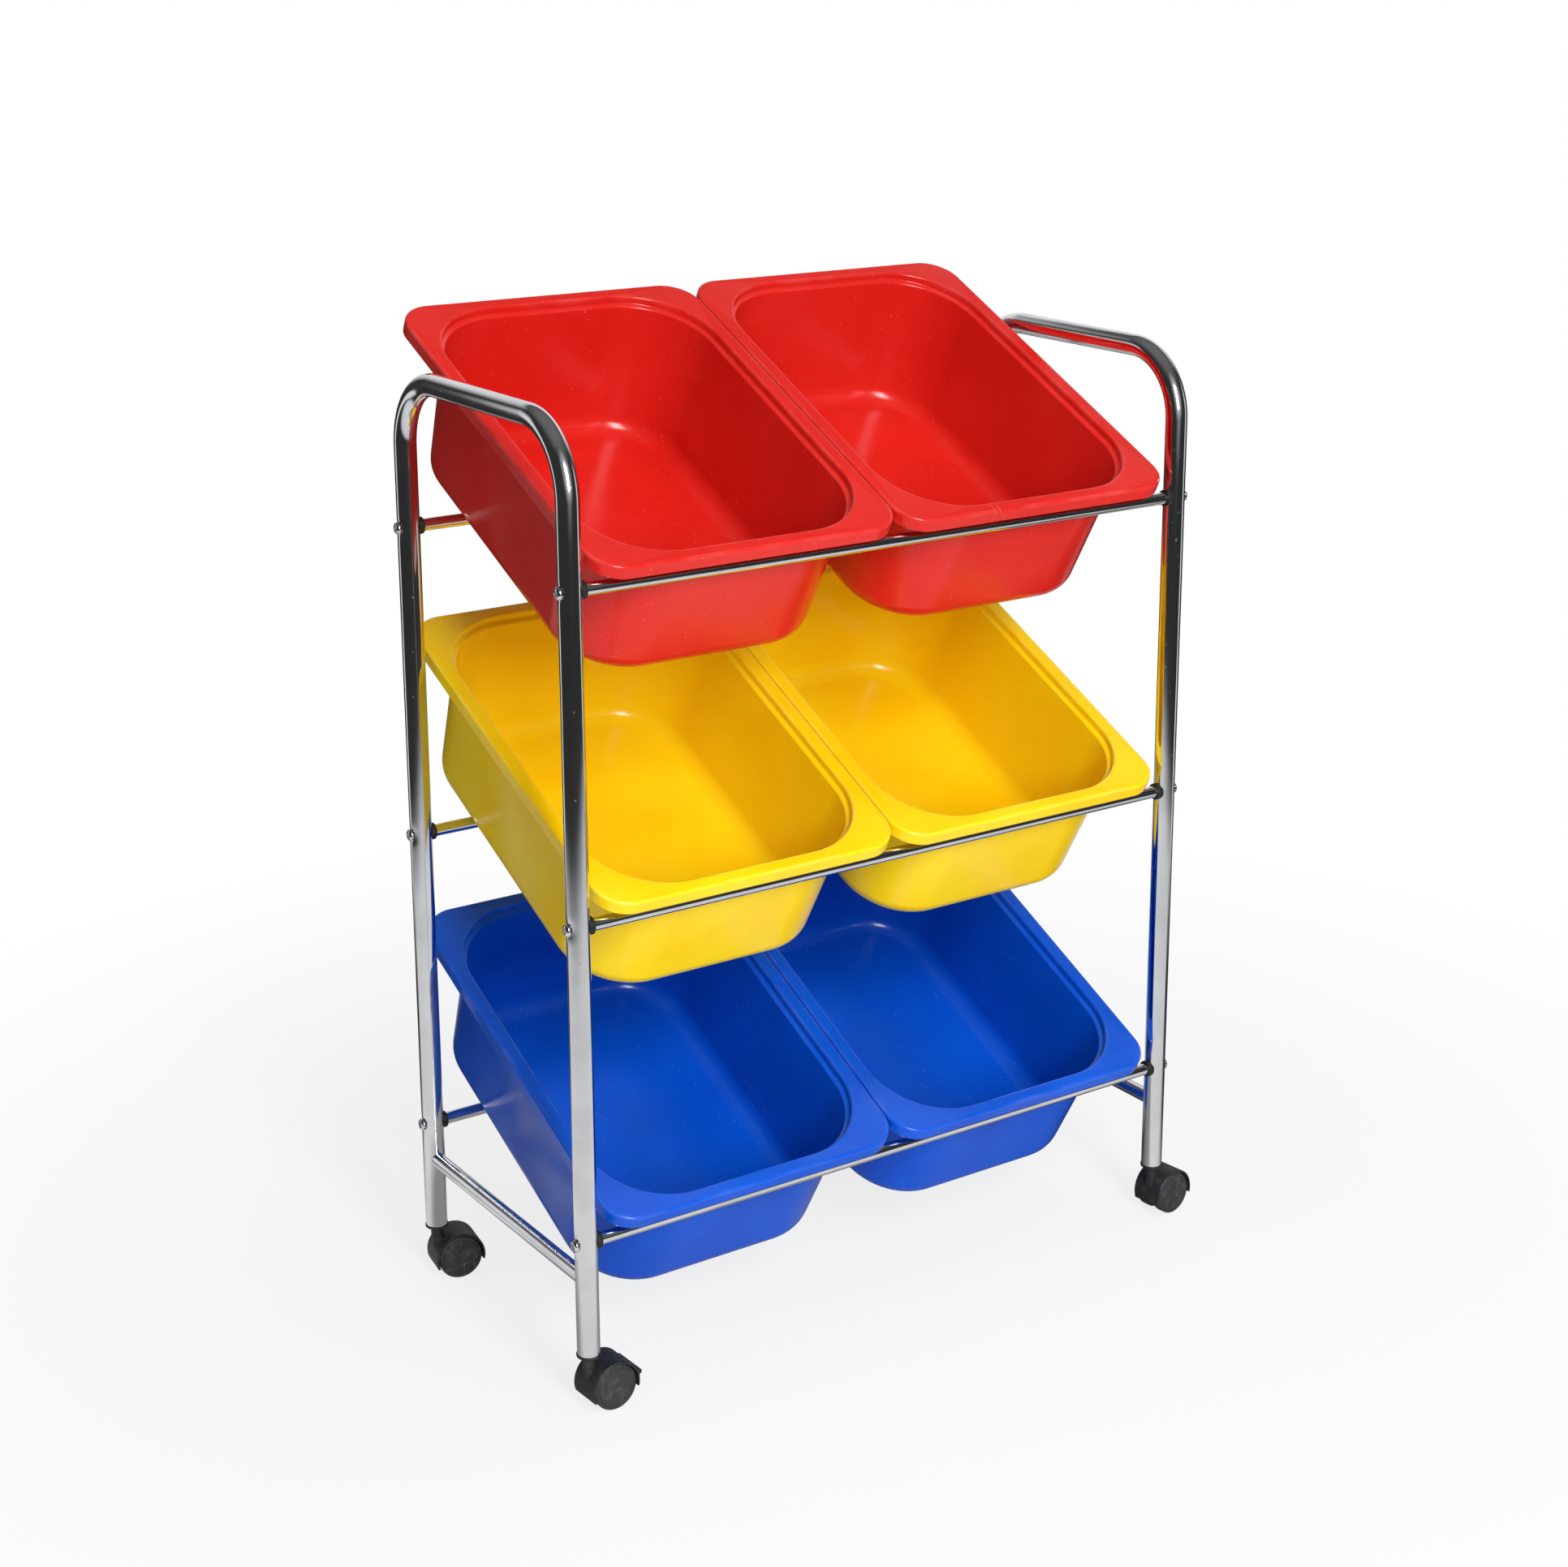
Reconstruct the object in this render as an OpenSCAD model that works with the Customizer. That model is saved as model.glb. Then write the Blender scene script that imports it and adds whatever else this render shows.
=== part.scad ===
// Rolling toy cart: a chromed tube frame on four twin-wheel casters holds
// three tiers of tilted lift-out bins, two bins to a tier.
// Axes: X across the cart, Y from front to back, Z up. The origin is on the floor,
// midway between the four legs.

/* [Side frames] */
// Distance between the centre lines of the left and right legs
frame_w = 604; // [480:1:760]
// Distance between the centre lines of the front and back legs
frame_d = 272; // [240:1:300]
// Outside diameter of the side frame tube
tube_d = 19; // [16:0.5:24]
// Wall thickness of the side frame tube
tube_wall = 1.2; // [1:0.1:2]
// Centre-line radius of the bends at the handles
bend_r = 58; // [35:1:65]
// Height of the handle's centre line above the top rails
handle_rise = 126.5; // [80:0.5:200]
// Height of the cross brace's centre line above the foot of the leg
brace_rise = 64.4; // [55:0.2:75]
// Outside diameter of the cross brace
brace_d = 13; // [10:0.5:15]

/* [Rails] */
// Height of the bottom rails' centre lines above the foot of the leg
rail_rise = 98; // [90:1:120]
// Height from one tier to the next
tier_pitch = 269; // [255:1:330]
// Outside diameter of a rail
rail_d = 10.6; // [9:0.1:12]
// Wall thickness of a rail
rail_wall = 1.2; // [0.8:0.1:1.6]
// Outside diameter of the bush between a leg and a rail
bush_d = 14.8; // [13:0.1:16]
// Length of the bush from the leg's face to the rail's end
bush_t = 2.8; // [2:0.1:6]
// How far the bush's saddle wraps round the leg
bush_wrap = 2.5; // [1.5:0.1:3]
// Diameter of a rail screw's shank
screw_d = 4.8; // [4:0.1:5]
// Diameter of a rail screw's head
screw_head_d = 10.4; // [8:0.1:12]
// Height of a rail screw's head
screw_head_h = 3.2; // [2.4:0.1:4]
// Length of the threaded insert inside a rail's end
insert_l = 18; // [14:1:30]

/* [Bins] */
// Length of a bin along its rim, from front to back
bin_l = 372; // [340:1:400]
// Depth of a bin from the top of its rim to the underside of its floor
bin_h = 133.5; // [126:0.5:140]
// Thickness of the bin's moulded walls
bin_wall = 2.3; // [1.8:0.1:3]
// Gap between a bin's rim and the leg beside it
side_gap = 7; // [3:0.5:12]
// Gap between the two bins of a tier
mid_gap = 1; // [1:0.5:10]
// Width of the flat rim along the sides of the opening
rim_side_w = 13.8; // [11:0.1:18]
// Width of the flat rim along the front and back of the opening
rim_end_w = 12.2; // [11:0.1:18]
// Height of the lip that hangs from the rim's outer edge
lip_h = 11.8; // [7:0.1:14]
// Radius of the rim's outer corners
rim_corner_r = 30; // [20:1:40]
// Radius of the opening's corners
mouth_corner_r = 70; // [60:1:85]
// Depth of the upright step below the rim, inside
step_h = 6.5; // [5:0.1:10]
// Width of the sloping ledge below the step
ledge_w = 3.6; // [3:0.1:6]
// Fall of the ledge from its outer to its inner edge
ledge_fall = 2; // [1:0.1:3]
// Height of the stacking skirt, from the rim's top to its lower edge
skirt_h = 16.8; // [14:0.1:20]
// Slope of the tub's walls away from upright, in degrees
draft = 4; // [2:0.5:6]
// Radius between the floor and the walls, inside
floor_r = 17; // [12:1:24]
// Radius of the rim's rounded edges
edge_r = 2; // [1:0.1:2.2]

/* [Casters] */
// Diameter of a caster's wheels
wheel_d = 39.4; // [36:0.2:41]
// Width of one of the two wheels
wheel_w = 9.5; // [8:0.1:14]
// Thickness of the web between the two wheels
web_t = 9; // [8.6:0.1:12]
// Distance from the swivel's axis to the axle
trail = 17; // [14:0.1:18]
// Thickness of the hood over the wheels
hood_t = 1.9; // [1.2:0.1:2.4]
// Gap between a wheel's tread and the hood
hood_gap = 0.9; // [0.5:0.1:1.5]
// Angle of the hood's lip below the axle on the trailing side
hood_lip_angle = 13; // [0:1:20]
// Angle of the hood's edge below the axle on the leading side
hood_nose_angle = 20; // [5:1:30]
// Diameter of the hood's neck under the leg
neck_d = 10.8; // [10.4:0.1:16]
// Diameter of the wheels' axle
axle_d = 5; // [4:0.1:6]
// Diameter of the swivel's stem
stem_d = 8; // [6:0.1:8.2]
// Length of the stem inside the socket
stem_reach = 26; // [18:1:40]
// Height of the caster from the floor to the socket's flange
caster_h = 48.7; // [48:0.1:54]
// Diameter of the socket's flange under the leg
flange_d = 20.4; // [19.5:0.1:24]
// Thickness of the socket's flange
flange_t = 2.3; // [1.5:0.1:4]
// Height that the brake lever stands proud of the hood
lever_proud = 1.6; // [1:0.1:3]
// Turn of each caster at rest: front left, back left, front right, back right
caster_turn = [3, -9, 7, -4];

/* [Hidden] */

$fn = 64;
chrome = "#c9ccd0";
black_nylon = "#1d1e20";
steel = "#9aa0a6";
tier_colors = ["#1f55d6", "#f7c51e", "#e9281f"];
caster_sides = [[-1, -1], [-1, 1], [1, -1], [1, 1]];
braked = [true, false, false, true];

// Clearances: fixed pieces that fit one in another, turning pins, and pieces that part
fit_gap = 0.05;
run_gap = 0.05;
seat_gap = 0.3;
// Length by which a cutting shape runs past what it cuts
past = 1;

half_w = frame_w / 2;
half_d = frame_d / 2;
leg_r = tube_d / 2;
rail_r = rail_d / 2;
foot_z = caster_h + flange_t;
function tier_z(t) = foot_z + rail_rise + t * tier_pitch;
handle_z = tier_z(2) + handle_rise;
brace_z = foot_z + brace_rise;
rail_half = half_w - leg_r - bush_t;
screw_play = 0.2;
// A screw stops this far short of its insert's inner end
grip_short = 4;
screw_grip = insert_l - grip_short;
screw_l = tube_d + bush_t + screw_grip;

// A bin's stacking skirt sits on the front rail. The wall behind the skirt leans on the
// back of that rail, and the floor sits on the back rail.
wall_slope = tan(draft);
wall_across = bin_wall / cos(draft);
ledge_z = step_h + ledge_fall;
seat_drop = skirt_h + seat_gap + rail_r;
lean_gap = (rail_r + seat_gap) / cos(draft);
rim_ahead = rim_end_w + wall_inset(-seat_drop) - wall_across - lean_gap;
bin_tilt = asin((bin_h - seat_drop + rail_r + seat_gap) / frame_d);
bin_w = (frame_w - tube_d - 2 * side_gap - mid_gap) / 2;
// Inset of the tub's inner face from the opening's edge at a height z below the rim
function wall_inset(z) = ledge_w + (-z - ledge_z) * wall_slope;

// Ring section of a tube, for sweeping
module tube_section(d, wall) {
    difference() {
        circle(d = d);
        circle(d = d - 2 * wall);
    }
}

module tube(d, wall, length) {
    linear_extrude(length)
        tube_section(d, wall);
}

// One side frame: two legs and a handle, bent from one tube
module side_frame(side) {
    straight_d = frame_d - 2 * bend_r;
    color(chrome) translate([side * half_w, 0, 0]) difference() {
        union() {
            for (front = [0, 1]) mirror([0, front, 0]) {
                translate([0, half_d, foot_z])
                    tube(tube_d, tube_wall, handle_z - bend_r - foot_z);
                translate([0, half_d - bend_r, handle_z - bend_r])
                    rotate([90, 0, 90]) rotate_extrude(angle = 90)
                        translate([bend_r, 0]) tube_section(tube_d, tube_wall);
            }
            translate([0, -straight_d / 2, handle_z])
                rotate([-90, 0, 0]) tube(tube_d, tube_wall, straight_d);
        }
        for (front = [-1, 1], t = [0 : 2])
            translate([0, front * half_d, tier_z(t)])
                rotate([0, 90, 0])
                    cylinder(d = screw_d + 2 * screw_play, h = tube_d + 2 * past, center = true);
    }
}

// Cross brace near the foot of a side frame, coped onto the legs
module brace(side) {
    color(chrome) translate([side * half_w, 0, 0]) difference() {
        translate([0, -half_d, brace_z])
            rotate([-90, 0, 0]) tube(brace_d, tube_wall, frame_d);
        for (front = [-1, 1])
            translate([0, front * half_d, brace_z - brace_d])
                cylinder(r = leg_r + fit_gap, h = 2 * brace_d);
    }
}

module rail(tier, front) {
    color(chrome)
        translate([-rail_half, front * half_d, tier_z(tier)])
            rotate([0, 90, 0]) tube(rail_d, rail_wall, 2 * rail_half);
}

// Places its children at each end of each rail, with X pointing out of the rail's end
module at_rail_ends() {
    for (side = [0, 1]) mirror([side, 0, 0])
        for (front = [-1, 1], t = [0 : 2])
            translate([rail_half, front * half_d, tier_z(t)])
                children();
}

// Saddle bush between a rail's end and the leg
module rail_bushes() {
    bush_l = bush_t + bush_wrap;
    color(black_nylon) at_rail_ends() difference() {
        rotate([0, 90, 0]) rotate_extrude()
            polygon([
                [screw_d / 2 + screw_play, 0],
                [bush_d / 2 - bush_round, 0],
                for (a = [-75 : 15 : 0])
                    [bush_d / 2 - bush_round + bush_round * cos(a), bush_round + bush_round * sin(a)],
                [bush_d / 2, bush_l],
                [screw_d / 2 + screw_play, bush_l]]);
        translate([bush_t + leg_r, 0, -bush_d])
            cylinder(r = leg_r + fit_gap, h = 2 * bush_d);
    }
}
bush_round = 1;

// Threaded insert pressed into a rail's end, which the screw bites into
module rail_inserts() {
    insert_r = rail_r - rail_wall - fit_gap;
    color(steel) at_rail_ends()
        translate([-insert_l, 0, 0]) rotate([0, 90, 0]) difference() {
            cylinder(r = insert_r, h = insert_l);
            translate([0, 0, -past])
                cylinder(d = screw_d + 2 * fit_gap, h = insert_l + 2 * past);
        }
}

// Button-head screw with a hexagonal socket, through the leg and the bush into the insert
module rail_screws() {
    head_r = screw_head_d / 2;
    socket_r = 0.3 * screw_head_d;
    socket_deep = 0.6 * screw_head_h;
    color(chrome) at_rail_ends()
        translate([bush_t + tube_d + fit_gap, 0, 0]) rotate([0, 90, 0]) difference() {
            rotate_extrude() polygon([
                [0, -screw_l],
                [screw_d / 2, -screw_l],
                [screw_d / 2, 0],
                [head_r, 0],
                for (a = [0 : 15 : 75])
                    [head_r * (0.45 + 0.55 * cos(a)), screw_head_h * (0.3 + 0.7 * sin(a))],
                [0, screw_head_h]]);
            translate([0, 0, screw_head_h - socket_deep])
                cylinder(r = socket_r, h = screw_head_h, $fn = 6);
        }
}

// Sockets in the feet of the legs, each with a blind bore for a caster's stem
plug_end = 4;
module caster_sockets() {
    plug_l = stem_reach + plug_end;
    plug_r = leg_r - tube_wall - fit_gap;
    color(black_nylon) for (c = caster_sides)
        translate([c[0] * half_w, c[1] * half_d, caster_h]) difference() {
            rotate_extrude() polygon([
                [0, 0],
                [flange_d / 2 - flange_round, 0],
                for (a = [-75 : 15 : 0])
                    [flange_d / 2 - flange_round + flange_round * cos(a),
                     flange_round + flange_round * sin(a)],
                [flange_d / 2, flange_t],
                [plug_r, flange_t],
                [plug_r, flange_t + plug_l - 1],
                [plug_r - 1, flange_t + plug_l],
                [0, flange_t + plug_l]]);
            translate([0, 0, -past])
                cylinder(d = stem_d + 2 * run_gap, h = flange_t + stem_reach + seat_gap + past);
        }
}
flange_round = 1;

// Sweeps a wall section round a rounded rectangle. The section's X is the distance out
// from the rectangle's edge and its Y is the height.
module sweep_round(w, l, r) {
    for (k = [0 : 3]) {
        run = (k % 2 == 0 ? l : w) - 2 * r;
        out = (k % 2 == 0 ? w : l) / 2;
        side = (k % 2 == 0 ? l : w) / 2;
        rotate([0, 0, 90 * k]) {
            translate([out, run / 2, 0])
                rotate([90, 0, 0]) linear_extrude(run) children();
            translate([out - r, side - r, 0])
                rotate_extrude(angle = 90) translate([r, 0]) children();
        }
    }
}

module rounded_plate(w, l, r, h) {
    linear_extrude(h) union() {
        square([w - 2 * r, l], center = true);
        square([w, l - 2 * r], center = true);
        for (x = [-1, 1], y = [-1, 1])
            translate([x * (w / 2 - r), y * (l / 2 - r)]) circle(r);
    }
}

function arc_points(x, y, r, from, to, steps) =
    [for (i = [0 : steps]) let (a = from + (to - from) * i / steps) [x + r * cos(a), y + r * sin(a)]];

// Sizes of the bin's opening, of its floor, and of the sections that make it
mouth_w = bin_w - 2 * rim_side_w;
mouth_l = bin_l - 2 * rim_end_w;
round_steps = 3;
fillet_steps = 6;
floor_top = bin_wall - bin_h;
fillet_z = floor_top + floor_r;
fillet_x = -wall_inset(fillet_z) - floor_r / cos(draft);
floor_w = mouth_w + 2 * fillet_x;
floor_l = mouth_l + 2 * fillet_x;
floor_corner_r = mouth_corner_r + fillet_x;

// Section of the tub from its floor up to the rim, with the step, the ledge and the skirt
module tub_section() {
    outer_r = floor_r + bin_wall;
    root_z = ledge_z + bin_wall;
    bevel = 1;
    polygon(concat(
        arc_points(edge_r, -edge_r, edge_r, 90, 180, round_steps),
        [[0, -step_h]],
        [[-ledge_w + bevel, -ledge_z + bevel * ledge_fall / ledge_w]],
        [[-wall_inset(-ledge_z - bevel), -ledge_z - bevel]],
        arc_points(fillet_x, fillet_z, floor_r, -draft, -90, fillet_steps),
        arc_points(fillet_x, fillet_z, outer_r, -90, -draft, fillet_steps),
        [[wall_across - wall_inset(-root_z), -root_z]],
        [[0, -step_h - bin_wall], [0, -skirt_h + skirt_round]],
        [[skirt_round, -skirt_h], [bin_wall - skirt_round, -skirt_h]],
        [[bin_wall, -skirt_h + skirt_round], [bin_wall, 0]]));
}
skirt_round = 0.6;

// Section of the lip at the rim's outer edge
module lip_section() {
    polygon(concat(
        [[-lip_top, 0], [-lip_top, -bin_wall], [-bin_wall, -bin_wall], [-bin_wall, -lip_h], [0, -lip_h]],
        arc_points(-edge_r, -edge_r, edge_r, 0, 90, round_steps)));
}
lip_top = 4;

// One moulded bin in its own frame: the rim's top is at z = 0 and its front edge at y = 0
module bin_shape() {
    plate_w = bin_w - 2 * lip_top;
    plate_l = bin_l - 2 * lip_top;
    hole_w = mouth_w + 2 * bin_wall;
    hole_l = mouth_l + 2 * bin_wall;
    translate([0, bin_l / 2, 0]) union() {
        sweep_round(bin_w, bin_l, rim_corner_r) lip_section();
        difference() {
            translate([0, 0, -bin_wall])
                rounded_plate(plate_w, plate_l, rim_corner_r - lip_top, bin_wall);
            translate([0, 0, -bin_wall - past])
                rounded_plate(hole_w, hole_l, mouth_corner_r + bin_wall, bin_wall + 2 * past);
        }
        sweep_round(mouth_w, mouth_l, mouth_corner_r) tub_section();
        translate([0, 0, -bin_h])
            rounded_plate(floor_w, floor_l, floor_corner_r, bin_wall);
    }
}

module bin(tier, side) {
    color(tier_colors[tier])
        translate([side * (bin_w + mid_gap) / 2, -half_d, tier_z(tier)])
            rotate([bin_tilt, 0, 0])
                translate([0, -rim_ahead, seat_drop])
                    bin_shape();
}

// Places its children at a caster, with the swivel's axis at x = 0 and the floor at z = 0
module at_caster(i) {
    translate([caster_sides[i][0] * half_w, caster_sides[i][1] * half_d, 0])
        rotate([0, 0, caster_turn[i]]) children();
}

// Places its children on the axle, with Z along the axle
module on_axle() {
    translate([trail, 0, wheel_d / 2]) rotate([90, 0, 0]) children();
}

wheel_r = wheel_d / 2;
wheel_gap = 0.3;
hood_side = 1.2;
wheel_out = web_t / 2 + wheel_gap + wheel_w;
hood_half = wheel_out + hood_side;
well_r = wheel_r + hood_gap;
hood_r = well_r + hood_t;
neck_top = caster_h - seat_gap;
stem_foot = 1.5 * wheel_r;
neck_foot = 1.9 * wheel_r;
// The brake lever turns on a pin at the top of a window in the hood
lever_angle = 20;
lever_side = 3.3;
lever_half = hood_half - lever_side;
lever_pin_l = 2.2;
knuckle_r = 2;
lever_pin_d = 2.4;
lever_pin_reach = lever_half + lever_pin_l + seat_gap;
lever_pin = [(hood_r + 0.2) * cos(lever_angle), (hood_r + 0.2) * sin(lever_angle)];
// The pad rests this far off the treads, and the web in its window stands below them
lever_clear = 1.1;
window_sink = 0.6;

// Wedge between two angles about the axle, longer than the hood's radius
module wedge(from, to, length) {
    translate([0, 0, -length / 2]) linear_extrude(length)
        polygon(concat([[0, 0]], arc_points(0, 0, 2 * hood_r, from, to, 8)));
}

// Hood over both wheels: a drum open at its ends and below, with a web in its middle,
// and a neck that tapers down its nose
module hood(i) {
    bevel = 0.8;
    color(black_nylon) at_caster(i) difference() {
        union() {
            on_axle() {
                intersection() {
                    rotate_extrude() polygon([
                        [0, -hood_half],
                        [hood_r - bevel, -hood_half],
                        [hood_r, -hood_half + bevel],
                        [hood_r, hood_half - bevel],
                        [hood_r - bevel, hood_half],
                        [0, hood_half]]);
                    wedge(-hood_lip_angle, 180 + hood_nose_angle, 4 * hood_half);
                }
                cylinder(d = 2.4 * axle_d, h = web_t, center = true);
                if (braked[i]) translate(lever_pin)
                    cylinder(r = knuckle_r + 0.5, h = 2 * hood_half, center = true);
            }
            translate([0, 0, neck_foot])
                cylinder(d = neck_d, h = neck_top - neck_foot);
            translate([0, 0, 0.8 * wheel_r])
                cylinder(d1 = 0.66 * neck_d, d2 = neck_d, h = neck_foot - 0.8 * wheel_r);
        }
        on_axle() {
            for (side = [0, 1]) mirror([0, 0, side]) translate([0, 0, web_t / 2])
                cylinder(r = well_r, h = hood_half);
            cylinder(d = axle_d + 2 * fit_gap, h = 2 * web_t, center = true);
            if (braked[i]) {
                intersection() {
                    difference() {
                        cylinder(r = 2 * hood_r, h = 2 * (lever_half + seat_gap), center = true);
                        cylinder(r = wheel_r - window_sink, h = 4 * hood_half, center = true);
                    }
                    wedge(-90, lever_angle, 4 * hood_half);
                }
                translate(lever_pin) {
                    cylinder(r = knuckle_r + seat_gap, h = 2 * (lever_half + seat_gap), center = true);
                    cylinder(d = lever_pin_d + 2 * run_gap, h = 2 * lever_pin_reach, center = true);
                }
            }
        }
        translate([0, 0, stem_foot])
            cylinder(d = stem_d + 2 * fit_gap, h = caster_h);
    }
}

// Steel stem that stands in the hood's neck and turns in the socket
module stem(i) {
    stem_top = foot_z + stem_reach;
    color(steel) at_caster(i) translate([0, 0, stem_foot])
        rotate_extrude() polygon([
            [0, 0],
            [stem_d / 2, 0],
            [stem_d / 2, stem_top - stem_foot - 1],
            [stem_d / 2 - 1, stem_top - stem_foot],
            [0, stem_top - stem_foot]]);
}

axle_half = wheel_out - 2;

module axle(i) {
    color(steel) at_caster(i) on_axle()
        cylinder(d = axle_d, h = 2 * axle_half, center = true);
}

// One wheel, open towards the web, with a plain cover disc outside; side is -1 in front
module wheel(i, side) {
    bore_r = axle_d / 2 + run_gap;
    inner = web_t / 2 + wheel_gap;
    tread_t = 3;
    hub_r = bore_r + 2.6;
    disc_in = axle_half + seat_gap;
    round_r = 1.6;
    color(black_nylon) at_caster(i) on_axle() rotate([side > 0 ? 180 : 0, 0, 0])
        rotate_extrude() polygon(concat(
            [[bore_r, inner], [hub_r, inner], [hub_r, disc_in - 1]],
            [[wheel_r - tread_t, disc_in - 1], [wheel_r - tread_t, inner]],
            arc_points(wheel_r - round_r / 2, inner + round_r / 2, round_r / 2, -90, 0, 2),
            arc_points(wheel_r - round_r, wheel_out - round_r, round_r, 0, 90, round_steps),
            [[wheel_r - 2 * round_r, wheel_out - 0.4], [0, wheel_out - 0.1]],
            [[0, disc_in], [bore_r, disc_in]]));
}

// Brake lever: a pad over both treads that presses on them when its foot goes down
module brake_lever(i) {
    lever_low = hood_lip_angle + 1;
    color(black_nylon) at_caster(i) on_axle() union() {
        intersection() {
            difference() {
                cylinder(r = hood_r + lever_proud, h = 2 * lever_half, center = true);
                cylinder(r = wheel_r + lever_clear, h = 4 * lever_half, center = true);
            }
            wedge(-lever_low, lever_angle - 3, 4 * lever_half);
        }
        translate(lever_pin) {
            cylinder(r = knuckle_r, h = 2 * lever_half, center = true);
            cylinder(d = lever_pin_d, h = 2 * (lever_half + lever_pin_l), center = true);
        }
    }
}

side_frame(-1);  // left_side_frame
side_frame(1);  // right_side_frame
brace(-1);  // left_brace
brace(1);  // right_brace
rail(0, -1);  // bottom_front_rail
rail(0, 1);  // bottom_back_rail
rail(1, -1);  // middle_front_rail
rail(1, 1);  // middle_back_rail
rail(2, -1);  // top_front_rail
rail(2, 1);  // top_back_rail
rail_bushes();
rail_inserts();
rail_screws();
caster_sockets();
bin(0, -1);  // bottom_left_bin
bin(0, 1);  // bottom_right_bin
bin(1, -1);  // middle_left_bin
bin(1, 1);  // middle_right_bin
bin(2, -1);  // top_left_bin
bin(2, 1);  // top_right_bin
hood(0);  // front_left_hood
stem(0);  // front_left_stem
axle(0);  // front_left_axle
wheel(0, -1);  // front_left_front_wheel
wheel(0, 1);  // front_left_back_wheel
hood(1);  // back_left_hood
stem(1);  // back_left_stem
axle(1);  // back_left_axle
wheel(1, -1);  // back_left_front_wheel
wheel(1, 1);  // back_left_back_wheel
hood(2);  // front_right_hood
stem(2);  // front_right_stem
axle(2);  // front_right_axle
wheel(2, -1);  // front_right_front_wheel
wheel(2, 1);  // front_right_back_wheel
hood(3);  // back_right_hood
stem(3);  // back_right_stem
axle(3);  // back_right_axle
wheel(3, -1);  // back_right_front_wheel
wheel(3, 1);  // back_right_back_wheel
brake_lever(0);  // front_left_brake_lever
brake_lever(3);  // back_right_brake_lever
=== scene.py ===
"""Rolling toy cart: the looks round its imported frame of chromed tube, moulded bins and casters."""
import math

import bmesh
import bpy
from mathutils import Matrix, Vector


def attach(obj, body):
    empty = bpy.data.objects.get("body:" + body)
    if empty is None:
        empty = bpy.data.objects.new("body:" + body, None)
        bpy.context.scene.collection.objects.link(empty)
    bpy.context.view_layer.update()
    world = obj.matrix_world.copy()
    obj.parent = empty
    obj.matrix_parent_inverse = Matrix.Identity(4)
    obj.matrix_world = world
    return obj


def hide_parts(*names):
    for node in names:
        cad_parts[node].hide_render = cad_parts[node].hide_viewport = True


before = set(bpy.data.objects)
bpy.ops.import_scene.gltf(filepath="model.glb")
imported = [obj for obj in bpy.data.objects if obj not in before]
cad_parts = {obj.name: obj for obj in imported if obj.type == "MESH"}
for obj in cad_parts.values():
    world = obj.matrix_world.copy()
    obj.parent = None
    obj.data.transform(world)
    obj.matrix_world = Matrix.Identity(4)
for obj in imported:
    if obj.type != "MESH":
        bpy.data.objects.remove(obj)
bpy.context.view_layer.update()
MM = 0.001
QUARTER_TURN, FULL_TURN = math.pi / 2, 2 * math.pi

# Sizes of the cart in millimetres, as its source has them. Z is up, and Y runs from front to back.
# The four legs stand HALF_W to each side and HALF_D to the front and the back of the middle.
HALF_W, HALF_D = 302.0, 136.0
TUBE_R, TUBE_WALL, BEND_R = 9.5, 1.2, 58.0
FOOT_Z, HANDLE_Z = 51.0, 813.5
BRACE_R, BRACE_Z = 6.5, 115.4
TIER_Z = {"bottom": 149.0, "middle": 418.0, "top": 687.0}
RAIL_R, RAIL_WALL = 5.3, 1.2
BUSH_R, BUSH_T, BUSH_WRAP, BUSH_ROUND = 7.4, 2.8, 2.5, 1.0
SCREW_R, SCREW_L, SCREW_PLAY = 2.4, 35.8, 0.2
SCREW_HEAD_R, SCREW_HEAD_H = 5.2, 3.2
FIT_GAP = 0.05
RAIL_HALF = HALF_W - TUBE_R - BUSH_T
# How many flat sides stand for a round one
LEG_SIDES, THIN_TUBE_SIDES, CUTTER_SIDES, SCREW_SIDES, WHEEL_SIDES = 48, 40, 96, 40, 64

# Sizes of a bin, across, lengthways and down from its rim's top
BIN_W, BIN_L, BIN_H, BIN_WALL = 285.0, 372.0, 133.5, 2.3
RIM_SIDE, RIM_END, RIM_R, LIP_H = 13.8, 12.2, 30.0, 11.8
MOUTH_R, STEP_H, LEDGE_W, LEDGE_FALL = 70.0, 6.5, 3.6, 2.0
SKIRT_H, FLOOR_R, EDGE_R, DRAFT = 16.8, 17.0, 2.0, math.radians(4)
BIN_GAP, SEAT_PLAY = 1.0, 0.3
SEAT_DROP = SKIRT_H + SEAT_PLAY + RAIL_R
TILT = math.asin((BIN_H - SEAT_DROP + RAIL_R + SEAT_PLAY) / (2 * HALF_D))

SIDES = {"left": -1, "right": 1}
ENDS = {"front": -1, "back": 1}
# Each caster's side, its end and the degrees that it rests turned by
CASTERS = {"front_left": (-1, -1, 3), "back_left": (-1, 1, -9),
           "front_right": (1, -1, 7), "back_right": (1, 1, -4)}
TIER_COLOUR = {"bottom": "blue", "middle": "yellow", "top": "red"}


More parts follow.
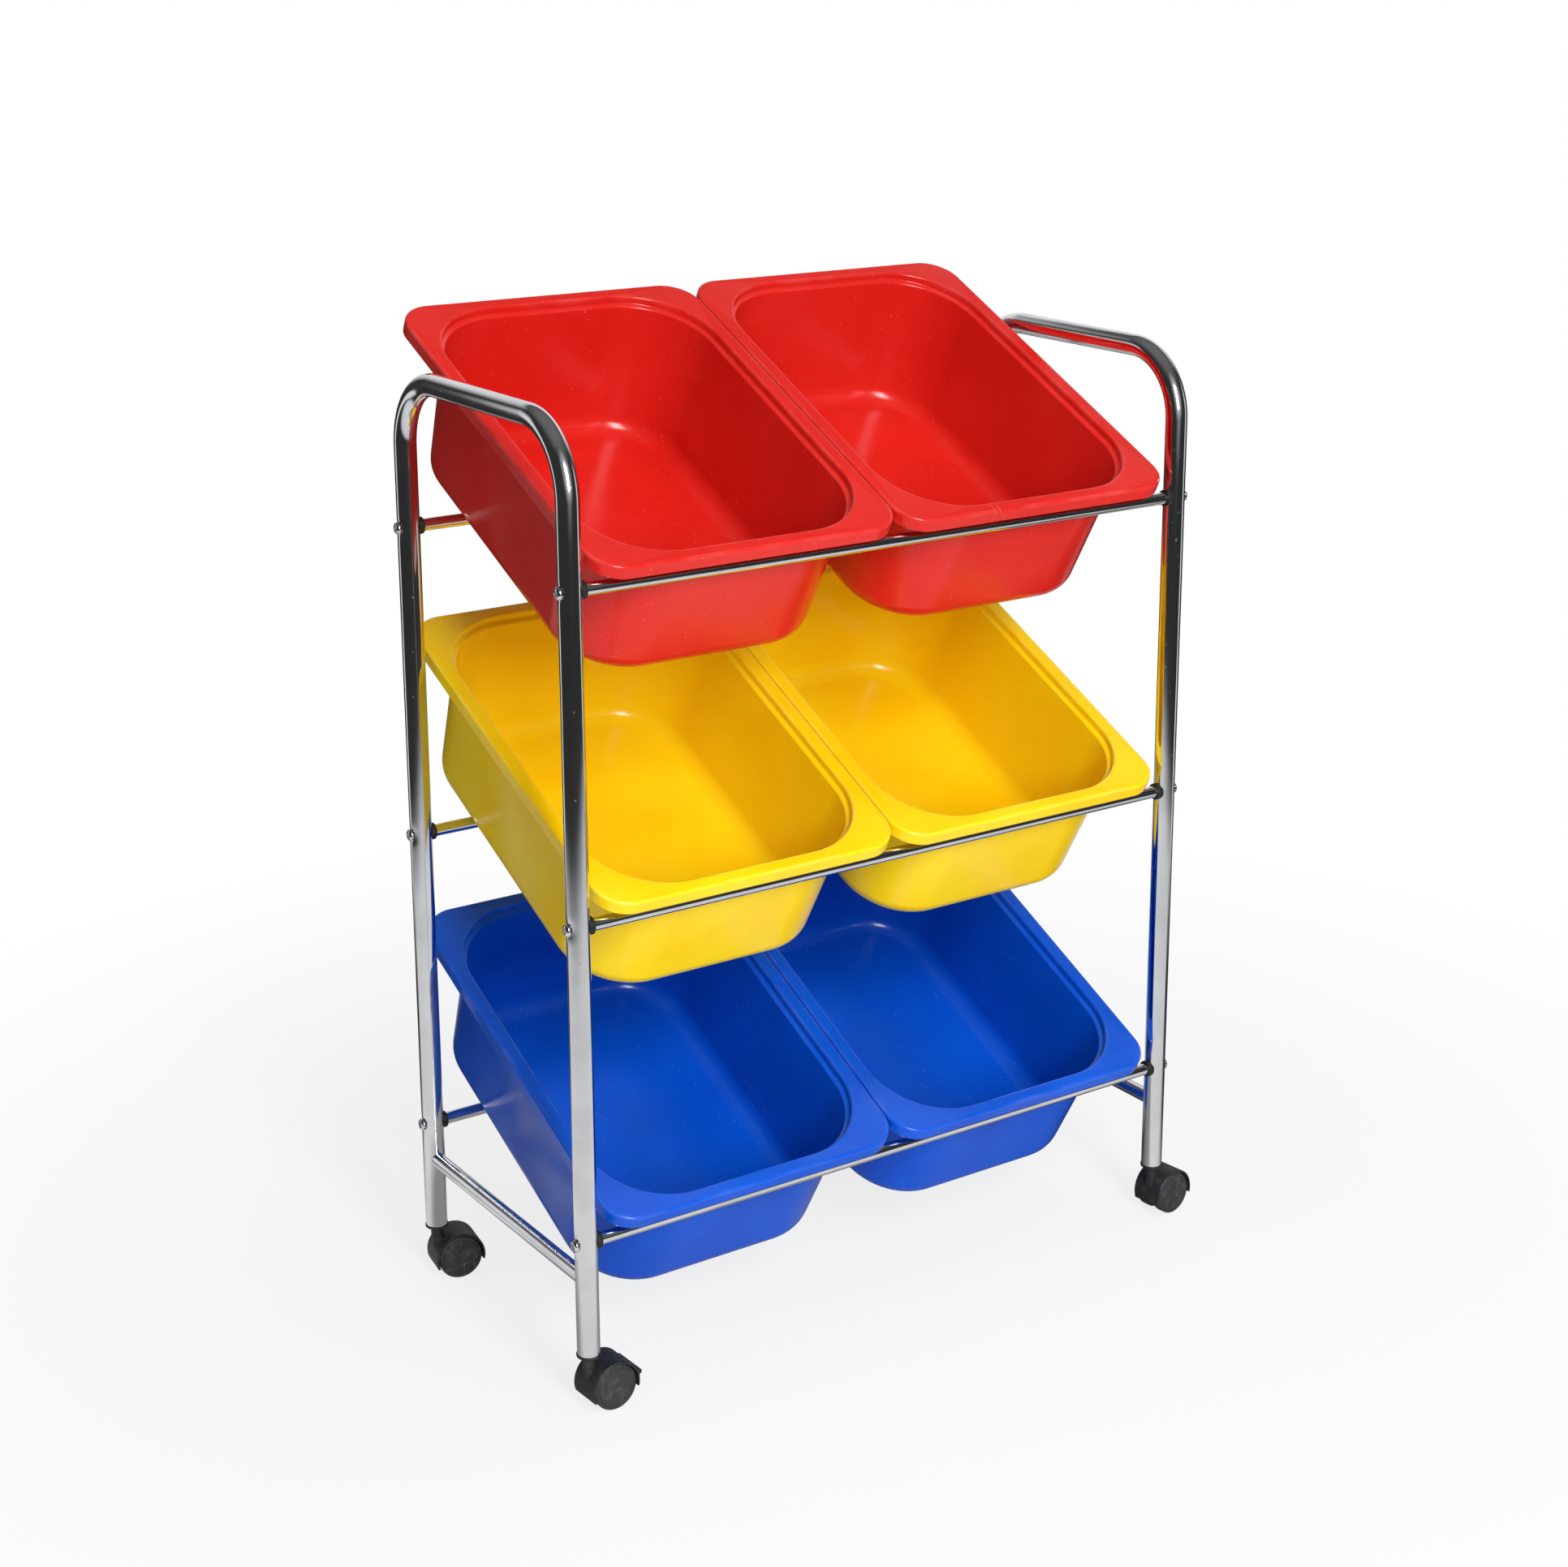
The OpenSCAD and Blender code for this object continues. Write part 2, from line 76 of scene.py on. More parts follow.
class Value:
    """One output of a finish's nodes. Python's operators add Math nodes to it."""

    def __init__(self, finish, socket):
        self.finish, self.socket = finish, socket

    def math(self, operation, *others):
        values = dict(enumerate([self, *others]))
        return self.finish.node("ShaderNodeMath", {"operation": operation}, values)

    def __add__(self, other):
        return self.math("ADD", other)

    def __mul__(self, other):
        return self.math("MULTIPLY", other)

    def __sub__(self, other):
        return self.math("SUBTRACT", other)

    def __rsub__(self, other):
        return self * -1.0 + other

    def __truediv__(self, other):
        return self.math("DIVIDE", other)

    __radd__, __rmul__ = __add__, __mul__

    def at_least(self, other):
        return self.math("MAXIMUM", other)

    def at_most(self, other):
        return self.math("MINIMUM", other)

    def step(self, low, high):
        """0 below low and 1 above high, or the other way round where low is the larger."""
        return self.finish.node("ShaderNodeMapRange",
                                {"clamp": True, "interpolation_type": "SMOOTHSTEP"},
                                {"Value": self, "From Min": low, "From Max": high})


class Finish:
    """A material, with the nodes that vary it over a surface."""

    def __init__(self, name, **constants):
        self.material = bpy.data.materials.new(name)
        self.material.use_nodes = True
        self.tree = self.material.node_tree
        self.shader = self.tree.nodes["Principled BSDF"]
        for socket, value in constants.items():
            self.shader.inputs[socket.replace("_", " ")].default_value = value

    def node(self, kind, settings=None, inputs=None, out=0):
        made = self.tree.nodes.new(kind)
        for key, value in (settings or {}).items():
            setattr(made, key, value)
        for key, value in (inputs or {}).items():
            if isinstance(value, Value):
                self.tree.links.new(value.socket, made.inputs[key])
            else:
                made.inputs[key].default_value = value
        return Value(self, made.outputs[out])

    def place(self, stretch=(1, 1, 1), turn=(0, 0, 0)):
        """The piece's own coordinates in metres, stretched and turned."""
        here = self.node("ShaderNodeTexCoord", out="Object")
        return self.node("ShaderNodeMapping", None,
                         {"Vector": here, "Scale": stretch, "Rotation": turn})

    def part(self, vector, axis):
        """One of a vector's three numbers."""
        return self.node("ShaderNodeSeparateXYZ", None, {0: vector}, out=axis)

    def length(self, vector):
        return self.node("ShaderNodeVectorMath", {"operation": "LENGTH"}, {0: vector}, "Value")

    def along(self, vector, direction):
        """How far a vector reaches along a direction."""
        inputs = {0: vector, 1: direction}
        return self.node("ShaderNodeVectorMath", {"operation": "DOT_PRODUCT"}, inputs, "Value")

    def own(self, name):
        """A vector that the piece's mesh carries."""
        return self.node("ShaderNodeAttribute", {"attribute_name": name}, out="Vector")

    def noise(self, where, scale, detail=2.0, roughness=0.5):
        inputs = {"Vector": where, "Scale": scale, "Detail": detail, "Roughness": roughness}
        return self.node("ShaderNodeTexNoise", None, inputs)

    def mix(self, factor, first, second):
        inputs = {0: factor, 6: first, 7: second}
        return self.node("ShaderNodeMix", {"data_type": "RGBA"}, inputs, out=2)

    def bump(self, height, distance, under=None):
        """A bump as deep as distance, in metres, on top of another one."""
        inputs = {"Height": height, "Distance": distance, "Strength": 1.0}
        if under:
            inputs["Normal"] = under
        return self.node("ShaderNodeBump", None, inputs)

    def drive(self, socket, value):
        self.tree.links.new(value.socket, self.shader.inputs[socket])


def rgb(red, green, blue):
    return (red, green, blue, 1.0)


def scratches(finish, turn, seed, density):
    """Thin, long, broken lines: contours of a stretched noise, kept only in a few patches."""
    lines = finish.noise(finish.place((60, 9, 60), turn), scale=0.35 + seed, detail=0.0)
    hair = (lines - 0.5).math("ABSOLUTE").step(0.0022, 0.0006)
    patches = finish.noise(finish.place(turn=turn), scale=16.0 + seed, detail=1.0)
    return hair * patches.step(density, density + 0.05)


# How strongly each mark of use shows on a bin, in its colour and in its roughness, and how
# rough clean plastic is
MARK_TINT, SPECK_TINT, RUB_TINT = 0.20, 0.15, 0.09
PLASTIC_ROUGH, CLOUD_DULL, GRAIN_DULL, MARK_DULL, CORNER_DULL = 0.14, 0.08, 0.05, 0.15, 0.12


def moulded_plastic(name, deep, pale, rim_haze):
    """Satin moulded plastic: a fine grain, a slow unevenness, hair scratches and rubbed edges."""
    skin = Finish(name, IOR=1.49, Specular_IOR_Level=0.4)
    here = skin.place()
    cloud = skin.noise(here, scale=9.0, detail=3.0)
    grain = skin.noise(here, scale=1500.0, detail=2.0)
    specks = skin.noise(here, scale=420.0, detail=0.0).step(0.80, 0.83)
    marks = (scratches(skin, (0.3, 0.4, 0.9), seed=0.0, density=0.67)
             + scratches(skin, (1.1, 0.2, 2.4), seed=0.13, density=0.68))
    wear = skin.own("wear")
    rubbed = skin.part(wear, 0) * skin.noise(here, scale=25.0, detail=3.0).step(0.35, 0.75)
    corner = skin.part(wear, 1).step(0.30, 0.42)
    haze = (marks * MARK_TINT + specks * SPECK_TINT + rubbed * RUB_TINT).at_most(1.0)
    colour = skin.mix(cloud.step(0.35, 0.65), rgb(*deep), rgb(*pale))
    skin.drive("Base Color", skin.mix(haze, colour, rgb(*rim_haze)))
    skin.drive("Roughness", cloud * CLOUD_DULL + grain * GRAIN_DULL + marks * MARK_DULL
               + corner * CORNER_DULL + PLASTIC_ROUGH)
    sink = skin.bump(skin.noise(here, scale=14.0, detail=1.0), distance=0.0009)
    skin.drive("Normal", skin.bump(grain + marks * -0.5, distance=0.00002, under=sink))
    return skin.material


# How rough clean chrome is, and what haze, draw lines and spots add
CHROME_ROUGH, HAZE_DULL, LINE_DULL, SPOT_DULL = 0.045, 0.06, 0.04, 0.15


def chromed_tube(name, stretch):
    """Bright chrome with faint draw lines along the tube and a little dulling."""
    skin = Finish(name, Metallic=1.0)
    here = skin.place()
    lines = skin.noise(skin.place(stretch), scale=900.0, detail=2.0)
    haze = skin.noise(here, scale=24.0, detail=4.0)
    spots = skin.noise(here, scale=300.0, detail=0.0).step(0.79, 0.84)
    bright, dull = rgb(0.80, 0.81, 0.83), rgb(0.68, 0.69, 0.71)
    skin.drive("Base Color", skin.mix(haze.step(0.3, 0.8), bright, dull))
    skin.drive("Roughness",
               haze * HAZE_DULL + lines * LINE_DULL + spots * SPOT_DULL + CHROME_ROUGH)
    slow = skin.bump(skin.noise(here, scale=18.0, detail=1.0), distance=0.00012)
    skin.drive("Normal", skin.bump(lines, distance=0.0000025, under=slow))
    return skin.material


def plated_steel(name, base, rough):
    """Turned and plated steel, with stains a fifth darker than its base."""
    skin = Finish(name, Metallic=1.0)
    here = skin.place()
    turning = skin.noise(here, scale=700.0, detail=3.0)
    stains = skin.noise(here, scale=90.0, detail=3.0)
    clean = rgb(base, base, base * 1.03)
    stained = rgb(base * 0.8, base * 0.8, base * 0.82)
    skin.drive("Base Color", skin.mix(stains.step(0.4, 0.7), clean, stained))
    skin.drive("Roughness", turning * 0.08 + stains * 0.08 + rough)
    skin.drive("Normal", skin.bump(turning, distance=0.00001))
    return skin.material


def black_nylon(name, base, dusty):
    """Black moulded nylon: fine spark texture, with dust and pale scuffs."""
    skin = Finish(name, IOR=1.5)
    here = skin.place()
    grain = skin.noise(here, scale=1900.0, detail=3.0)
    dust = skin.noise(here, scale=130.0, detail=5.0, roughness=0.6)
    specks = skin.noise(here, scale=800.0, detail=1.0).step(0.72, 0.78)
    scuffs = scratches(skin, (0.5, 1.3, 0.2), seed=0.4, density=0.5)
    veil = (dust.step(0.45, 0.85) * 0.35 + specks * 0.5 + scuffs * 0.6).at_most(1.0)
    skin.drive("Base Color", skin.mix(veil, rgb(base, base, base * 1.04), rgb(dusty, dusty, dusty)))
    skin.drive("Roughness", dust * 0.15 + grain * 0.12 + 0.42)
    skin.drive("Normal", skin.bump(grain, distance=0.00006))
    return skin.material


FINISHES = {
    "red_plastic": moulded_plastic("red_plastic_skin", deep=(0.58, 0.012, 0.008),
                                   pale=(0.62, 0.016, 0.011), rim_haze=(0.9, 0.35, 0.32)),
    "yellow_plastic": moulded_plastic("yellow_plastic_skin", deep=(0.93, 0.60, 0.002),
                                      pale=(0.94, 0.66, 0.006), rim_haze=(0.98, 0.88, 0.4)),
    "blue_plastic": moulded_plastic("blue_plastic_skin", deep=(0.0010, 0.074, 0.56),
                                    pale=(0.002, 0.090, 0.64), rim_haze=(0.3, 0.42, 0.85)),
    "chrome_up": chromed_tube("chrome_upright_skin", stretch=(1, 1, 0.01)),
    "chrome_across": chromed_tube("chrome_rail_skin", stretch=(0.01, 1, 1)),
    "chrome_deep": chromed_tube("chrome_brace_skin", stretch=(1, 0.01, 1)),
    "chrome_screw": plated_steel("screw_plating", base=0.8, rough=0.06),
    "steel": plated_steel("zinc_plating", base=0.5, rough=0.14),
    "black_nylon": black_nylon("nylon_skin", base=0.012, dusty=0.10),
    "black_bush": black_nylon("bush_skin", base=0.004, dusty=0.03),
    "black_nylon_wheel": black_nylon("wheel_nylon_skin", base=0.024, dusty=0.20),
}


def finish_piece(name, bm, finish, body, nodes, smooth=35.0, bevel=0.0, weighted=False):
    """Turns a bmesh in millimetres into a piece of the cart that stands for its CAD nodes.

    Edges that turn by more than smooth degrees stay sharp in the shading. Bevel is how many
    millimetres of each sharp edge are eased."""
    bmesh.ops.scale(bm, vec=(MM, MM, MM), verts=bm.verts)
    mesh = bpy.data.meshes.new(name)
    bm.to_mesh(mesh)
    bm.free()
    mesh.shade_smooth()
    mesh.set_sharp_from_angle(angle=math.radians(smooth))
    mesh.materials.append(FINISHES[finish])
    piece = bpy.data.objects.new(name, mesh)
    bpy.context.scene.collection.objects.link(piece)
    if bevel:
        edge = piece.modifiers.new("edge", "BEVEL")
        edge.width, edge.segments, edge.limit_method = bevel * MM, 2, "ANGLE"
        edge.angle_limit, edge.harden_normals = math.radians(40), True
    if weighted:
        shading = piece.modifiers.new("shading", "WEIGHTED_NORMAL")
        shading.keep_sharp = True
    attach(piece, body)
    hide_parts(*nodes)
    return piece


def moved(x, y, z):
    return Matrix.Translation((x, y, z))


def turned_by(angle, axis):
    return Matrix.Rotation(angle, 4, axis)


def copies(source, matrices):
    """One bmesh with a copy of source at each matrix."""
    mesh = bpy.data.meshes.new("copy")
    source.to_mesh(mesh)
    source.free()
    bm = bmesh.new()
    for matrix in matrices:
        start = len(bm.verts)
        bm.from_mesh(mesh)
        bm.verts.ensure_lookup_table()
        bmesh.ops.transform(bm, matrix=matrix, verts=bm.verts[start:])
    bpy.data.meshes.remove(mesh)
    return bm


def carve(bm, cutter):
    """Takes the cutter's solid away from the solid in bm."""
    parts = []
    for source in (bm, cutter):
        mesh = bpy.data.meshes.new("carving")
        source.to_mesh(mesh)
        source.free()
        parts.append(bpy.data.objects.new("carving", mesh))
        bpy.context.scene.collection.objects.link(parts[-1])
    cut = parts[0].modifiers.new("cut", "BOOLEAN")
    cut.operation, cut.object, cut.solver = "DIFFERENCE", parts[1], "EXACT"
    bpy.context.view_layer.update()
    done = parts[0].evaluated_get(bpy.context.evaluated_depsgraph_get())
    carved = bmesh.new()
    carved.from_mesh(done.to_mesh())
    for part in parts:
        bpy.data.objects.remove(part)
    return carved


def rod(bm, radius, length, segments, matrix):
    """Adds a solid rod, with its middle at the matrix and its length along the matrix's Z."""
    bmesh.ops.create_cone(bm, cap_ends=True, segments=segments, radius1=radius, radius2=radius,
                          depth=length, matrix=matrix)


def leg_cutter(matrices):
    """Short rods a hair thicker than a leg, to carve what sits saddled on one."""
    length = 40
    bm = bmesh.new()
    for matrix in matrices:
        rod(bm, TUBE_R + FIT_GAP, length, CUTTER_SIDES, matrix)
    return bm


def turned(profile, steps=LEG_SIDES):
    """A solid of revolution about Z from a profile of (radius, height) points."""
    bm = bmesh.new()
    points = [bm.verts.new((r, 0.0, z)) for r, z in profile]
    edges = [bm.edges.new(pair) for pair in zip(points, points[1:])]
    bmesh.ops.spin(bm, geom=points + edges, cent=(0, 0, 0), axis=(0, 0, 1), angle=FULL_TURN,
                   steps=steps, use_merge=True)
    bmesh.ops.remove_doubles(bm, verts=bm.verts, dist=0.0005)
    bmesh.ops.recalc_face_normals(bm, faces=bm.faces)
    return bm


def arc(x, z, radius, start, stop, steps):
    """Points round a centre, from one angle in degrees to another."""
    angles = [math.radians(start + (stop - start) * i / steps) for i in range(steps + 1)]
    return [(x + radius * math.cos(a), z + radius * math.sin(a)) for a in angles]


def extrude_open(bm, edges, move):
    """Draws a loop of edges out along a vector and gives the new loop."""
    made = bmesh.ops.extrude_edge_only(bm, edges=edges)["geom"]
    verts = {g for g in made if isinstance(g, bmesh.types.BMVert)}
    bmesh.ops.translate(bm, verts=list(verts), vec=move)
    return [g for g in made if isinstance(g, bmesh.types.BMEdge) and set(g.verts) <= verts]


def bend_open(bm, edges, centre, axis, angle, steps):
    """Sweeps a loop of edges round a bend and gives the new loop."""
    geom = list({v for e in edges for v in e.verts}) + edges
    made = bmesh.ops.spin(bm, geom=geom, cent=centre, axis=axis, angle=angle, steps=steps)
    return [g for g in made["geom_last"] if isinstance(g, bmesh.types.BMEdge)]


def tube_start(radius, matrix, segments=LEG_SIDES):
    """A new bmesh with the first loop of a tube."""
    bm = bmesh.new()
    bmesh.ops.create_circle(bm, segments=segments, radius=radius, matrix=matrix)
    return bm, bm.edges[:]


def thicken(bm, wall):
    """Gives an open surface a wall on its inner side."""
    bmesh.ops.recalc_face_normals(bm, faces=bm.faces)
    bmesh.ops.solidify(bm, geom=bm.faces[:], thickness=wall)
    bmesh.ops.recalc_face_normals(bm, faces=bm.faces)
    return bm


# Side frames: each one tube, bent twice, and dimpled where the screws pull on it
DIMPLE_DEEP, DIMPLE_TALL, DIMPLE_TURN = 0.7, 6.0, math.radians(32)
NEAR_SCREW, RING_GAP = 18, 2
BEND_STEPS = 20


def dimple(bm, sx):
    """Sinks the tube's outer side a little round each screw, on the legs alone."""
    leg_reach = 1.1 * TUBE_R
    for v in bm.verts:
        leg_y = math.copysign(HALF_D, v.co.y)
        out = Vector((v.co.x - sx * HALF_W, v.co.y - leg_y, 0))
        if out.length < leg_reach:
            turn = out.angle(Vector((sx, 0, 0)))
            for z in TIER_Z.values():
                sink = math.exp(-((v.co.z - z) / DIMPLE_TALL) ** 2 - (turn / DIMPLE_TURN) ** 2)
                v.co -= out.normalized() * DIMPLE_DEEP * sink


def leg_steps(low, high):
    """Heights for the rings of a leg: close together round the screws."""
    clear = 1
    near = [z + step for z in TIER_Z.values()
            for step in range(-NEAR_SCREW, NEAR_SCREW + 1, RING_GAP)]
    return sorted({z for z in near if low + clear < z < high - clear} | {high})


def side_frame(sx):
    """One tube: up the front leg, over the handle and down the back leg."""
    bend_z, bend_y = HANDLE_Z - BEND_R, HALF_D - BEND_R
    heights = [FOOT_Z] + leg_steps(FOOT_Z, bend_z)
    rises = [high - low for low, high in zip(heights, heights[1:])]
    bm, loop = tube_start(TUBE_R, moved(sx * HALF_W, -HALF_D, FOOT_Z))
    for rise in rises:
        loop = extrude_open(bm, loop, (0, 0, rise))
    bend = {"axis": (1, 0, 0), "angle": -QUARTER_TURN, "steps": BEND_STEPS}
    loop = bend_open(bm, loop, (sx * HALF_W, -bend_y, bend_z), **bend)
    loop = extrude_open(bm, loop, (0, 2 * bend_y, 0))
    loop = bend_open(bm, loop, (sx * HALF_W, bend_y, bend_z), **bend)
    for rise in reversed(rises):
        loop = extrude_open(bm, loop, (0, 0, -rise))
    bmesh.ops.remove_doubles(bm, verts=bm.verts, dist=0.001)
    dimple(bm, sx)
    return thicken(bm, TUBE_WALL)


for side, sx in SIDES.items():
    finish_piece(f"{side}_bent_tube", side_frame(sx), "chrome_up", "frame",
                 [f"{side}_side_frame"], bevel=0.3)

# Braces: straight tubes coped onto the legs, with a ring near each end so that the carving
# leaves the long middle clean
BRACE_END = 14.0
for side, sx in SIDES.items():
    start = moved(sx * HALF_W, -HALF_D, BRACE_Z) @ turned_by(-QUARTER_TURN, "X")
    bm, loop = tube_start(BRACE_R, start, THIN_TUBE_SIDES)
    for length in (BRACE_END, 2 * (HALF_D - BRACE_END), BRACE_END):
        loop = extrude_open(bm, loop, (0, length, 0))
    legs = leg_cutter(moved(sx * HALF_W, sy * HALF_D, BRACE_Z) for sy in ENDS.values())
    finish_piece(f"{side}_cross_tube", carve(thicken(bm, TUBE_WALL), legs), "chrome_deep",
                 "frame", [f"{side}_brace"])

# Rails
for tier, z in TIER_Z.items():
    for end, sy in ENDS.items():
        start = moved(-RAIL_HALF, sy * HALF_D, z) @ turned_by(QUARTER_TURN, "Y")
        bm, loop = tube_start(RAIL_R, start, THIN_TUBE_SIDES)
        extrude_open(bm, loop, (2 * RAIL_HALF, 0, 0))
        finish_piece(f"{tier}_{end}_rail_tube", thicken(bm, RAIL_WALL), "chrome_across", "frame",
                     [f"{tier}_{end}_rail"], bevel=0.4)


# Bins: rounded rectangles stacked in the order of the moulding's section
LEDGE_Z = STEP_H + LEDGE_FALL


def wall_inset(z):
    """How far in from the mouth the wall's inner face lies, at a height below the ledge."""
    return LEDGE_W + (-z - LEDGE_Z) * math.tan(DRAFT)


# How far the rim's front edge reaches past the middle of the front rail
RIM_AHEAD = (RIM_END + wall_inset(-SEAT_DROP)
             - (BIN_WALL + RAIL_R + SEAT_PLAY) / math.cos(DRAFT))


def ring(bm, width, length, radius, height, steps=16):
    """One rounded rectangle: its edges and its vertices."""
    verts = bmesh.ops.create_grid(bm, x_segments=1, y_segments=1, size=0.5)["verts"]
    bmesh.ops.scale(bm, vec=(width, length, 1), verts=verts)
    bmesh.ops.translate(bm, verts=verts, vec=(0, 0, height))
    rounded = bmesh.ops.bevel(bm, geom=verts, offset=radius, segments=steps, profile=0.5,
                              affect="VERTICES", clamp_overlap=False, material=-1)["verts"]
    face = rounded[0].link_faces[0]
    edges = face.edges[:]
    bmesh.ops.delete(bm, geom=[face], context="FACES_ONLY")
    return edges, rounded


def bin_section():
    """Rows of (path, distance out, height, rubbed) from the floor's inside round to its outside.

    The mouth's path runs round the opening, and the rim's round the outer edge."""
    chamfer, lip_chamfer, flat = 0.6, 0.4, 1.2
    fillet_z = BIN_WALL - BIN_H + FLOOR_R
    fillet_x = -wall_inset(fillet_z) - FLOOR_R / math.cos(DRAFT)
    degrees = math.degrees(DRAFT)
    # Up the inside, from the floor's fillet to the ledge
    rows = [("mouth", x, z, 0) for x, z in arc(fillet_x, fillet_z, FLOOR_R, -90, -degrees, 9)]
    rows += [("mouth", -wall_inset(z), z, 0) for z in (-SKIRT_H, -LEDGE_Z - 2.2, -LEDGE_Z - 1.0)]
    # The ledge, with both its edges eased, and the step up to the mouth
    rows += [("mouth", 0.1 - LEDGE_W, -LEDGE_Z - 0.3, 0.6),
             ("mouth", 0.8 - LEDGE_W, -LEDGE_Z + 0.4, 0.6),
             ("mouth", -0.8, -STEP_H - 0.45, 0), ("mouth", -0.2, -STEP_H - 0.1, 0),
             ("mouth", 0, -STEP_H + chamfer, 0)]
    # Over the rim and down its lip
    rows += [("mouth", x, z, 1) for x, z in arc(EDGE_R, -EDGE_R, EDGE_R, 180, 90, 5)]
    rows += [("mouth", EDGE_R + flat, 0, 0), ("rim", -EDGE_R - flat, 0, 0)]
    rows += [("rim", x, z, 1) for x, z in arc(-EDGE_R, -EDGE_R, EDGE_R, 90, 0, 5)]
    rows += [("rim", 0, -EDGE_R - flat, 0), ("rim", 0, -LIP_H + flat, 0),
             ("rim", 0, -LIP_H + lip_chamfer, 1), ("rim", -lip_chamfer, -LIP_H, 1),
             ("rim", -BIN_WALL + lip_chamfer, -LIP_H, 0),
             ("rim", -BIN_WALL, -LIP_H + lip_chamfer, 0)]
    # Under the rim and down round the skirt
    rows += [("rim", -BIN_WALL, -BIN_WALL - chamfer, 0), ("rim", -BIN_WALL - chamfer, -BIN_WALL, 0),
             ("mouth", BIN_WALL + chamfer, -BIN_WALL, 0),
             ("mouth", BIN_WALL, -BIN_WALL - chamfer, 0),
             ("mouth", BIN_WALL, -SKIRT_H + chamfer, 0), ("mouth", BIN_WALL - chamfer, -SKIRT_H, 0),
             ("mouth", chamfer, -SKIRT_H, 0), ("mouth", 0, -SKIRT_H + chamfer, 0),
             ("mouth", 0, -STEP_H - BIN_WALL, 0)]
    # Down the outside to the floor
    across = BIN_WALL / math.cos(DRAFT)
    root_z = -LEDGE_Z - BIN_WALL
    rows += [("mouth", across - wall_inset(z), z, 0) for z in (root_z, root_z - 1.5)]
    outer_r = FLOOR_R + BIN_WALL
    rows += [("mouth", x, z, 0) for x, z in arc(fillet_x, fillet_z, outer_r, -degrees, -90, 9)]
    return rows


def bin_moulding():
    """One bin in its own frame: the rim's top at z = 0, centred on x = 0 and y = 0.

    Its wear attribute holds how rubbed an edge is, and the blends of the rim's corners."""
    paths = {"mouth": (BIN_W - 2 * RIM_SIDE, BIN_L - 2 * RIM_END, MOUTH_R),
             "rim": (BIN_W, BIN_L, RIM_R)}
    bm = bmesh.new()
    wear = bm.verts.layers.float_vector.new("wear")
    loops = []
    for number, (path, out, height, rubbed) in enumerate(bin_section()):
        width, length, radius = paths[path]
        # The rings stand well apart while they are joined, so that each finds its neighbour
        edges, verts = ring(bm, width + 2 * out, length + 2 * out, radius + out, number * 20)
        loops.append((edges, verts, height))
        for v in verts:
            past_x = abs(v.co.x) - width / 2 + radius
            past_y = abs(v.co.y) - length / 2 + radius
            corner = max(0.0, math.sin(2 * math.atan2(past_y, past_x))) if height == 0 else 0.0
            v[wear] = (rubbed, corner, 0)
    for low, high in zip(loops, loops[1:]):
        bmesh.ops.bridge_loops(bm, edges=low[0] + high[0])
    bmesh.ops.contextual_create(bm, geom=loops[0][0])
    bmesh.ops.contextual_create(bm, geom=loops[-1][0])
    for _, verts, height in loops:
        for v in verts:
            v.co.z = height
    bmesh.ops.recalc_face_normals(bm, faces=bm.faces)
    return bm


moulding = bpy.data.meshes.new("bin_moulding")
bm = bin_moulding()
bm.to_mesh(moulding)
bm.free()
for tier, z in TIER_Z.items():
    for side, sx in SIDES.items():
        bm = bmesh.new()
        bm.from_mesh(moulding)
        on_rails = (moved(sx * (BIN_W + BIN_GAP) / 2, -HALF_D, z) @ turned_by(TILT, "X")
                    @ moved(0, BIN_L / 2 - RIM_AHEAD, SEAT_DROP))
        bmesh.ops.transform(bm, matrix=on_rails, verts=bm.verts)
        finish_piece(f"{tier}_{side}_moulding", bm, f"{TIER_COLOUR[tier]}_plastic",
                     f"{tier}_{side}_bin", [f"{tier}_{side}_bin"], smooth=50, weighted=True)

# Bushes: turned, and carved to sit on a leg. Z runs out of the rail's end and across the leg.
rail_ends = [moved(sx * RAIL_HALF, sy * HALF_D, z) @ turned_by(QUARTER_TURN, (0, sx, 0))
             for sx in SIDES.values() for sy in ENDS.values() for z in TIER_Z.values()]
hole_r, bush_end = SCREW_R + SCREW_PLAY, BUSH_T + BUSH_WRAP
bush = turned([(hole_r, 0)] + arc(BUSH_R - BUSH_ROUND, BUSH_ROUND, BUSH_ROUND, -90, 0, 4)
              + [(BUSH_R, bush_end), (hole_r, bush_end), (hole_r, 0)])
leg = leg_cutter([moved(0, 0, BUSH_T + TUBE_R) @ turned_by(QUARTER_TURN, "Y")])
finish_piece("saddle_bushes", copies(carve(bush, leg), rail_ends), "black_bush", "frame",
             ["rail_bushes"], bevel=0.3)

# Screws: a domed head with a hexagonal socket, down in the leg's dimple
HEAD_CHAMFER, HEX_R, HEX_DEEP, HEAD_LIFT = 0.2, 3.1, 1.9, 0.3
CROWN_FLAT, HEAD_SIDE = 0.45, 0.3
dome_angles = [math.radians(degrees) for degrees in range(0, 90, 10)]
head = turned([(0, -SCREW_L), (SCREW_R, -SCREW_L), (SCREW_R, 0),
               (SCREW_HEAD_R - HEAD_CHAMFER, 0), (SCREW_HEAD_R, HEAD_CHAMFER)]
              + [(SCREW_HEAD_R * (CROWN_FLAT + (1 - CROWN_FLAT) * math.cos(angle)),
                  SCREW_HEAD_H * (HEAD_SIDE + (1 - HEAD_SIDE) * math.sin(angle)))
                 for angle in dome_angles] + [(0, SCREW_HEAD_H)], SCREW_SIDES)
hexagon = bmesh.new()
cutter_l = 3.0
rod(hexagon, HEX_R, cutter_l, 6, moved(0, 0, SCREW_HEAD_H - HEX_DEEP + cutter_l / 2))
head_z = BUSH_T + 2 * TUBE_R - DIMPLE_DEEP + HEAD_LIFT
screw_places = [rail_end @ moved(0, 0, head_z) for rail_end in rail_ends]
